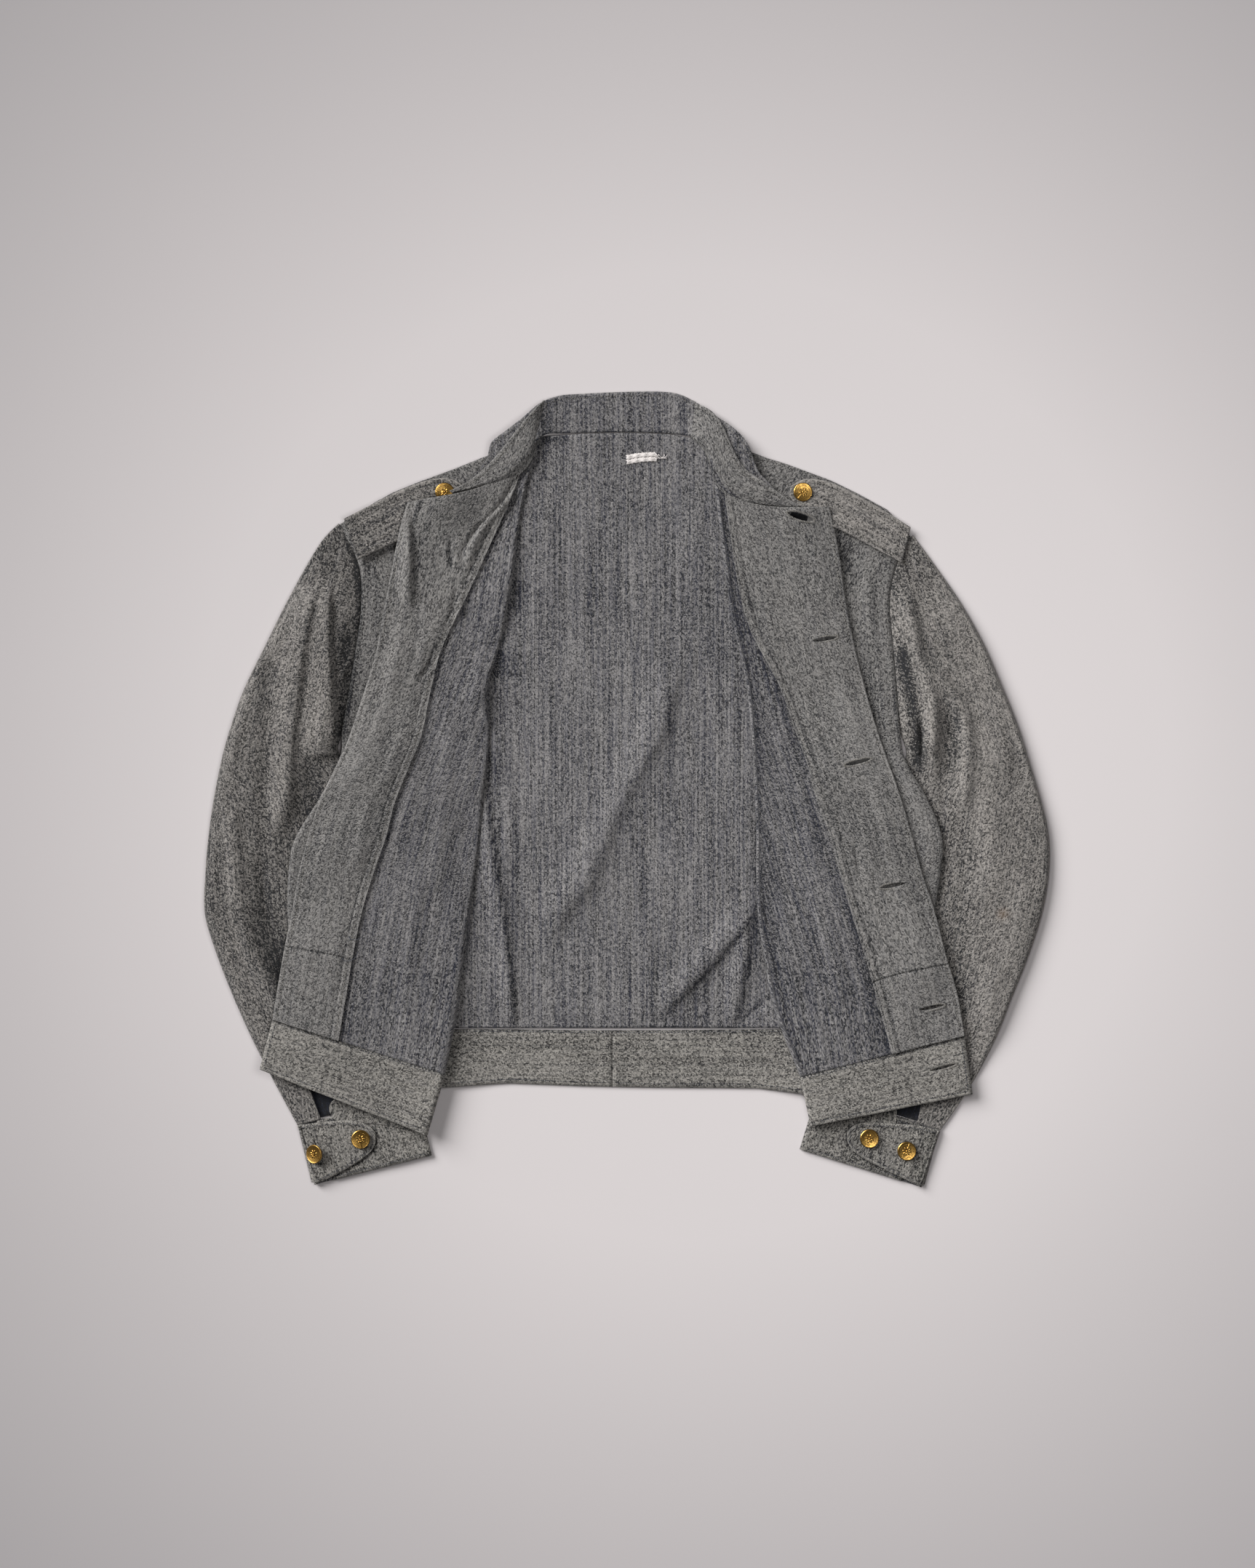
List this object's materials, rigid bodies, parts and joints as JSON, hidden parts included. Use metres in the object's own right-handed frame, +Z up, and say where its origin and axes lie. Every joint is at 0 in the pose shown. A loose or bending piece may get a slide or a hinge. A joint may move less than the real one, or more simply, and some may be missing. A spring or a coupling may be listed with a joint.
{
  "type": "military jacket",
  "caption": "Short waist-length cotton military jacket laid open on its back, fronts turned out, with shoulder straps, buttoned cuffs and gilt shank buttons.",
  "frame": {"origin": "middle of the laid jacket's bounding box, on the surface that it lies on", "axes": "+X across the jacket towards the wearer's left sleeve, +Y from hem to collar, +Z up from the surface"},
  "size_m": [0.7296, 0.6886, 0.018],
  "materials": {
    "cloth_outside": "matte twill",
    "cloth_inside": "matte twill",
    "cloth_band": "matte twill",
    "gilt_brass": "polished gilt",
    "white_tape": "matte tape"
  },
  "bodies": {
    "root": {"back": "cloth_inside", "back_waistband_right": "cloth_band", "back_waistband_left": "cloth_band", "right_front": "cloth_outside", "right_facing": "cloth_outside", "right_facing_lower": "cloth_outside", "right_waistband": "cloth_band", "right_under_sleeve": "cloth_outside", "right_top_sleeve": "cloth_outside", "right_cuff": "cloth_band", "right_cuff_tab": "cloth_band", "right_shoulder_strap": "cloth_outside", "left_front": "cloth_outside", "left_facing": "cloth_outside", "left_facing_lower": "cloth_outside", "left_waistband": "cloth_band", "left_under_sleeve": "cloth_outside", "left_top_sleeve": "cloth_outside", "left_cuff": "cloth_band", "left_cuff_tab": "cloth_band", "left_shoulder_strap": "cloth_outside", "collar": "cloth_band", "shoulder_button_right": "gilt_brass", "shoulder_button_left": "gilt_brass", "cuff_button_right_inner": "gilt_brass", "cuff_button_right_outer": "gilt_brass", "cuff_button_left_inner": "gilt_brass", "cuff_button_left_outer": "gilt_brass", "front_button_1": "gilt_brass", "front_button_2": "gilt_brass", "front_button_3": "gilt_brass", "front_button_4": "gilt_brass", "front_button_5": "gilt_brass", "label_tape": "white_tape"}
  },
  "joints": []
}
